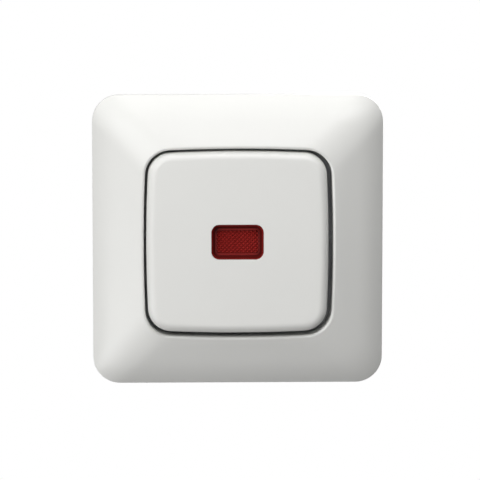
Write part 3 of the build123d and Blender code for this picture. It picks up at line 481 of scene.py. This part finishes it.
def toggle_spring():
    """The spring in round wire, and the two ends of its length as heights on the rocker's axis."""
    node = frame["nodes"]["toggle_spring"]
    heights = []
    for vertex in node.data.vertices:
        spot = node.matrix_world @ vertex.co
        out = spot.z * math.sin(REST_TILT) - (spot.y + PIVOT_P) * math.cos(REST_TILT)
        heights.append(PIVOT_P + out)
    low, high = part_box("toggle_spring")
    middle_x = (low[0] + high[0]) / 2 - ROCKER_SHIFT
    coil_r = (high[0] - low[0]) / 2 - WIRE_R
    back_p, front_p = min(heights), max(heights)
    rise = front_p - back_p - 2 * WIRE_R
    verts, faces = [], []
    rows = SPRING_TURNS * COIL_STEPS
    for row in range(rows + 1):
        turn = math.tau * row / COIL_STEPS
        for i in range(WIRE_STEPS):
            around = math.tau * i / WIRE_STEPS
            r = coil_r + WIRE_R * math.cos(around)
            p = back_p + WIRE_R + rise * row / rows + WIRE_R * math.sin(around)
            verts.append(on_rocker(middle_x + r * math.cos(turn), r * math.sin(turn), p))
    for row in range(rows):
        for i in range(WIRE_STEPS):
            a = row * WIRE_STEPS + i
            b = row * WIRE_STEPS + (i + 1) % WIRE_STEPS
            faces.append((a, b, b + WIRE_STEPS, a + WIRE_STEPS))
    flat_from = len(faces)
    faces.append(tuple(reversed(range(WIRE_STEPS))))
    faces.append(tuple(rows * WIRE_STEPS + i for i in range(WIRE_STEPS)))
    return add_piece("toggle_spring_coil", verts, faces, flat_from), back_p, front_p


def add_node(tree, kind, **values):
    """A shader node with the named sockets set; an underscore in a name stands for a space."""
    node = tree.nodes.new("ShaderNode" + kind)
    for socket, value in values.items():
        node.inputs[socket.replace("_", " ")].default_value = value
    return node


def add_math(tree, operation, first, second=None):
    """One operation on a socket, alone or with a second socket or number; returns its result."""
    node = tree.nodes.new("ShaderNodeMath")
    node.operation = operation
    tree.links.new(first, node.inputs[0])
    if isinstance(second, float):
        node.inputs[1].default_value = second
    elif second is not None:
        tree.links.new(second, node.inputs[1])
    return node.outputs["Value"]


def new_material(name):
    """An empty material with its output and one principled shader."""
    material = bpy.data.materials.new(name)
    material.use_nodes = True
    tree = material.node_tree
    tree.nodes.clear()
    out = add_node(tree, "OutputMaterial")
    shader = add_node(tree, "BsdfPrincipled")
    tree.links.new(shader.outputs["BSDF"], out.inputs["Surface"])
    return material, tree, shader


def found(tree, kind):
    """The first node of a kind in a tree."""
    return next(node for node in tree.nodes if node.type == kind)


def plastic(name, colour, roughness, grain, grain_depth, mottle, gloss):
    """Moulded plastic: slight unevenness of colour and a fine surface grain."""
    material, tree, shader = new_material(name)
    where = add_node(tree, "TexCoord")
    cloud = add_node(tree, "TexNoise", Scale=60.0, Detail=3.0)
    ramp = add_node(tree, "ValToRGB")
    ramp.color_ramp.elements[0].position = 0.3
    ramp.color_ramp.elements[1].position = 0.7
    ramp.color_ramp.elements[0].color = (*[c * (1 - mottle) for c in colour], 1)
    ramp.color_ramp.elements[1].color = (*colour, 1)
    fine = add_node(tree, "TexNoise", Scale=grain, Detail=2.0)
    bump = add_node(tree, "Bump", Strength=0.25, Distance=grain_depth)
    links = tree.links
    links.new(where.outputs["Object"], cloud.inputs["Vector"])
    links.new(where.outputs["Object"], fine.inputs["Vector"])
    links.new(cloud.outputs["Fac"], ramp.inputs["Fac"])
    links.new(ramp.outputs["Color"], shader.inputs["Base Color"])
    links.new(fine.outputs["Fac"], bump.inputs["Height"])
    links.new(bump.outputs["Normal"], shader.inputs["Normal"])
    shader.inputs["Roughness"].default_value = roughness
    shader.inputs["Specular IOR Level"].default_value = gloss
    return material


def paint_recess_shade(material, reach):
    """Paints shade into a coloured plastic: darker in its recessed corners, by ambient occlusion, and
    on its steep walls, by the way they face.
    """
    tree = material.node_tree
    # Painted shade: ambient occlusion darkens the corners, and walls that face sideways are darkened as
    # well.
    corners = add_node(tree, "AmbientOcclusion", Distance=reach)
    corner_shade = add_node(tree, "MapRange", From_Min=0.35, From_Max=0.8, To_Min=0.15)
    facing = add_node(tree, "SeparateXYZ")
    wall_shade = add_node(tree, "MapRange", From_Min=0.5, From_Max=0.72, To_Min=0.3)
    shaded_colour = tree.nodes.new("ShaderNodeVectorMath")
    shaded_colour.operation = "SCALE"
    links = tree.links
    links.new(found(tree, "TEX_COORD").outputs["Normal"], facing.inputs[0])
    links.new(add_math(tree, "ABSOLUTE", facing.outputs["Y"]), wall_shade.inputs["Value"])
    links.new(corners.outputs["AO"], corner_shade.inputs["Value"])
    share = add_math(tree, "MULTIPLY", corner_shade.outputs["Result"], wall_shade.outputs["Result"])
    links.new(found(tree, "VALTORGB").outputs["Color"], shaded_colour.inputs[0])
    links.new(share, shaded_colour.inputs["Scale"])
    links.new(shaded_colour.outputs["Vector"], found(tree, "BSDF_PRINCIPLED").inputs["Base Color"])


def metal(name, colour, roughness, brushed):
    """Plated or pressed metal with fine drawn lines and a slightly uneven sheen."""
    material, tree, shader = new_material(name)
    where = add_node(tree, "TexCoord")
    stretch = add_node(tree, "Mapping", Scale=(1.0, 1.0, brushed))
    lines = add_node(tree, "TexNoise", Scale=180.0, Detail=4.0)
    sheen = add_node(tree, "MapRange", To_Min=roughness * 0.8, To_Max=roughness * 1.25)
    tone = add_node(tree, "ValToRGB")
    tone.color_ramp.elements[0].color = (*[c * 0.86 for c in colour], 1)
    tone.color_ramp.elements[1].color = (*colour, 1)
    bump = add_node(tree, "Bump", Strength=0.15, Distance=0.02 * MM)
    links = tree.links
    links.new(where.outputs["Object"], stretch.inputs["Vector"])
    links.new(stretch.outputs["Vector"], lines.inputs["Vector"])
    links.new(lines.outputs["Fac"], sheen.inputs["Value"])
    links.new(lines.outputs["Fac"], tone.inputs["Fac"])
    links.new(lines.outputs["Fac"], bump.inputs["Height"])
    links.new(sheen.outputs["Result"], shader.inputs["Roughness"])
    links.new(tone.outputs["Color"], shader.inputs["Base Color"])
    links.new(bump.outputs["Normal"], shader.inputs["Normal"])
    shader.inputs["Metallic"].default_value = 1.0
    return material


def clear(name, colour, roughness):
    """Clear glass with faint flow lines."""
    material, tree, shader = new_material(name)
    where = add_node(tree, "TexCoord")
    flow = add_node(tree, "TexNoise", Scale=90.0)
    bump = add_node(tree, "Bump", Strength=0.1, Distance=0.02 * MM)
    tree.links.new(where.outputs["Object"], flow.inputs["Vector"])
    tree.links.new(flow.outputs["Fac"], bump.inputs["Height"])
    tree.links.new(bump.outputs["Normal"], shader.inputs["Normal"])
    shader.inputs["Base Color"].default_value = (*colour, 1)
    shader.inputs["Roughness"].default_value = roughness
    shader.inputs["Transmission Weight"].default_value = 1.0
    shader.inputs["IOR"].default_value = 1.5
    return material


# Plastics: colour, roughness, scale and depth of the grain, unevenness of the colour, gloss
PLASTICS = {
    "white_cover": ((0.80, 0.80, 0.775), 0.34, 2500.0, 0.01 * MM, 0.012, 0.5),
    "red_lens": ((0.31, 0.020, 0.017), 0.3, 3000.0, 0.01 * MM, 0.1, 0.15),
    "grey_moulding": ((0.16, 0.165, 0.17), 0.55, 1400.0, 0.03 * MM, 0.08, 0.5),
    "cream_moulding": ((0.72, 0.68, 0.58), 0.5, 1400.0, 0.03 * MM, 0.06, 0.5),
}
# Metals: colour, roughness, stretch of the drawn lines
METALS = {
    "zinc_plate": ((0.42, 0.43, 0.44), 0.62, 0.08),
    "contact_brass": ((0.78, 0.58, 0.28), 0.3, 0.1),
    "spring_steel": ((0.60, 0.60, 0.60), 0.25, 0.1),
}
# How far the painted shade in the lens's recess reaches
LENS_SHADE_REACH = 1.5 * MM

finishes = {name: plastic(f"{name}_finish", *values) for name, values in PLASTICS.items()}
finishes.update({name: metal(f"{name}_finish", *values) for name, values in METALS.items()})
finishes["clear_glass"] = clear("clear_glass_finish", (0.95, 0.96, 0.96), 0.03)
# Painted shade: the lens colour is darkened in its corners and on its steep walls.
paint_recess_shade(finishes["red_lens"], LENS_SHADE_REACH)
slots = {row["node"]: row["material_slot"] for row in frame["record"]["subparts"]}
for name, node in frame["nodes"].items():
    node.data.materials.clear()
    node.data.materials.append(finishes[slots[name]])

dressed = [
    (cover_frame(), "cover_frame", "base"),
    (rocker(), "rocker", "rocker"),
    (lens(), "lens", "rocker"),
    (threaded_screw("claw_screw_left"), "claw_screw_left", "claw_screw_left"),
    (threaded_screw("claw_screw_right"), "claw_screw_right", "claw_screw_right"),
]
coil, coil_back_p, coil_front_p = toggle_spring()
dressed.append((coil, "toggle_spring", "rocker"))
for piece, node, body in dressed:
    piece.data.materials.append(finishes[slots[node]])
    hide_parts(node)
    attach(piece, body)
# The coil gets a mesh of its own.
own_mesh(coil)

# Camera: a long lens, a little above the switch and slightly to its left.
CAMERA_DISTANCE = 0.9
CAMERA_AZIMUTH = math.radians(-1.5)
CAMERA_ELEVATION = math.radians(7.5)
VIEW_WIDTH = 0.1333
SENSOR_WIDTH = 36.0
NEAREST = 0.05
AIM = Vector((0.00063, -0.003, -0.0002))
back = Vector(
    (
        math.sin(CAMERA_AZIMUTH) * math.cos(CAMERA_ELEVATION),
        -math.cos(CAMERA_AZIMUTH) * math.cos(CAMERA_ELEVATION),
        math.sin(CAMERA_ELEVATION),
    )
)
camera_data = bpy.data.cameras.new("camera")
camera = bpy.data.objects.new("camera", camera_data)
bpy.context.scene.collection.objects.link(camera)
camera_data.sensor_width = SENSOR_WIDTH
camera_data.lens = SENSOR_WIDTH * CAMERA_DISTANCE / VIEW_WIDTH
camera_data.clip_start = NEAREST
camera.location = AIM + back * CAMERA_DISTANCE
camera.rotation_mode = "QUATERNION"
camera.rotation_quaternion = (-back).to_track_quat("-Z", "Y")
bpy.context.scene.camera = camera


def area_light(name, direction, distance, size, power):
    """A square soft light that faces the switch."""
    data = bpy.data.lights.new(name, "AREA")
    data.size = size
    data.energy = power
    light = bpy.data.objects.new(name, data)
    bpy.context.scene.collection.objects.link(light)
    toward = Vector(direction).normalized()
    light.location = toward * distance
    light.rotation_mode = "QUATERNION"
    light.rotation_quaternion = (-toward).to_track_quat("-Z", "Y")


# Lights: name, direction, distance, size and power
LIGHTS = (
    ("key_light", (-0.40, -0.85, 0.35), 0.60, 0.30, 1.10),
    ("upper_left_light", (-0.68, -0.53, 0.50), 0.50, 0.28, 0.24),
    ("left_low_fill", (-0.70, -0.50, -0.40), 0.60, 0.35, 1.45),
    ("top_light", (0.0, -0.05, 1.0), 0.60, 0.40, 1.50),
    ("top_front_light", (0.0, -0.60, 0.80), 0.60, 0.30, 0.75),
    ("top_right_light", (0.35, -0.60, 0.72), 0.70, 0.16, 0.80),
    ("upper_right_light", (0.57, -0.57, 0.59), 0.70, 0.16, 0.42),
    ("right_fill", (0.80, -0.50, -0.30), 0.80, 0.45, 0.20),
    ("rear_fill", (0.4, 0.9, 0.25), 1.3, 0.9, 9.0),
)
for values in LIGHTS:
    area_light(*values)


def looking_rays(tree):
    """A socket that is 1 for what the camera sees, also in reflections and through glass."""
    rays = add_node(tree, "LightPath")
    direct = add_math(tree, "MAXIMUM", rays.outputs["Is Camera Ray"], rays.outputs["Is Glossy Ray"])
    return add_math(tree, "MAXIMUM", direct, rays.outputs["Is Transmission Ray"])


# World: plain white to the camera, in reflections and through glass, all but dark as a light.
SURROUND_LIGHT = 0.01
WHITE = (1, 1, 1, 1)
world = bpy.data.worlds.new("surround")
bpy.context.scene.world = world
world.use_nodes = True
world_tree = world.node_tree
world_tree.nodes.clear()
world_out = add_node(world_tree, "OutputWorld")
seen = add_node(world_tree, "Background", Color=WHITE)
given = add_node(world_tree, "Background", Color=WHITE, Strength=SURROUND_LIGHT)
mix = add_node(world_tree, "MixShader")
world_tree.links.new(looking_rays(world_tree), mix.inputs["Fac"])
world_tree.links.new(given.outputs["Background"], mix.inputs[1])
world_tree.links.new(seen.outputs["Background"], mix.inputs[2])
world_tree.links.new(mix.outputs["Shader"], world_out.inputs["Surface"])


def pale_floor(share):
    """A matt pale floor; a share of what is seen of it is evenly lit, the rest keeps its shadows."""
    material = plastic("floor_finish", (0.8, 0.8, 0.8), 0.6, 300.0, 0.05 * MM, 0.01, 0.5)
    tree = material.node_tree
    even = add_node(tree, "Emission", Color=(0.9, 0.9, 0.9, 1))
    blend = add_node(tree, "MixShader")
    tree.links.new(add_math(tree, "MULTIPLY", looking_rays(tree), share), blend.inputs["Fac"])
    tree.links.new(found(tree, "BSDF_PRINCIPLED").outputs["BSDF"], blend.inputs[1])
    tree.links.new(even.outputs["Emission"], blend.inputs[2])
    tree.links.new(blend.outputs["Shader"], found(tree, "OUTPUT_MATERIAL").inputs["Surface"])
    return material


# Floor: a pale disc as far below the switch as such a switch hangs over the floor of a room.
FLOOR_Z = -1.05
FLOOR_RADIUS = 0.8
FLOOR_STEPS = 96
FLOOR_EVENNESS = 0.8
floor_points = []
for step in range(FLOOR_STEPS):
    turn = math.tau * step / FLOOR_STEPS
    floor_points.append((FLOOR_RADIUS * math.cos(turn), FLOOR_RADIUS * math.sin(turn), FLOOR_Z))
floor = add_piece("floor", floor_points, [tuple(range(FLOOR_STEPS))])
floor.data.materials.append(pale_floor(FLOOR_EVENNESS))

bpy.context.scene.view_settings.view_transform = "Standard"
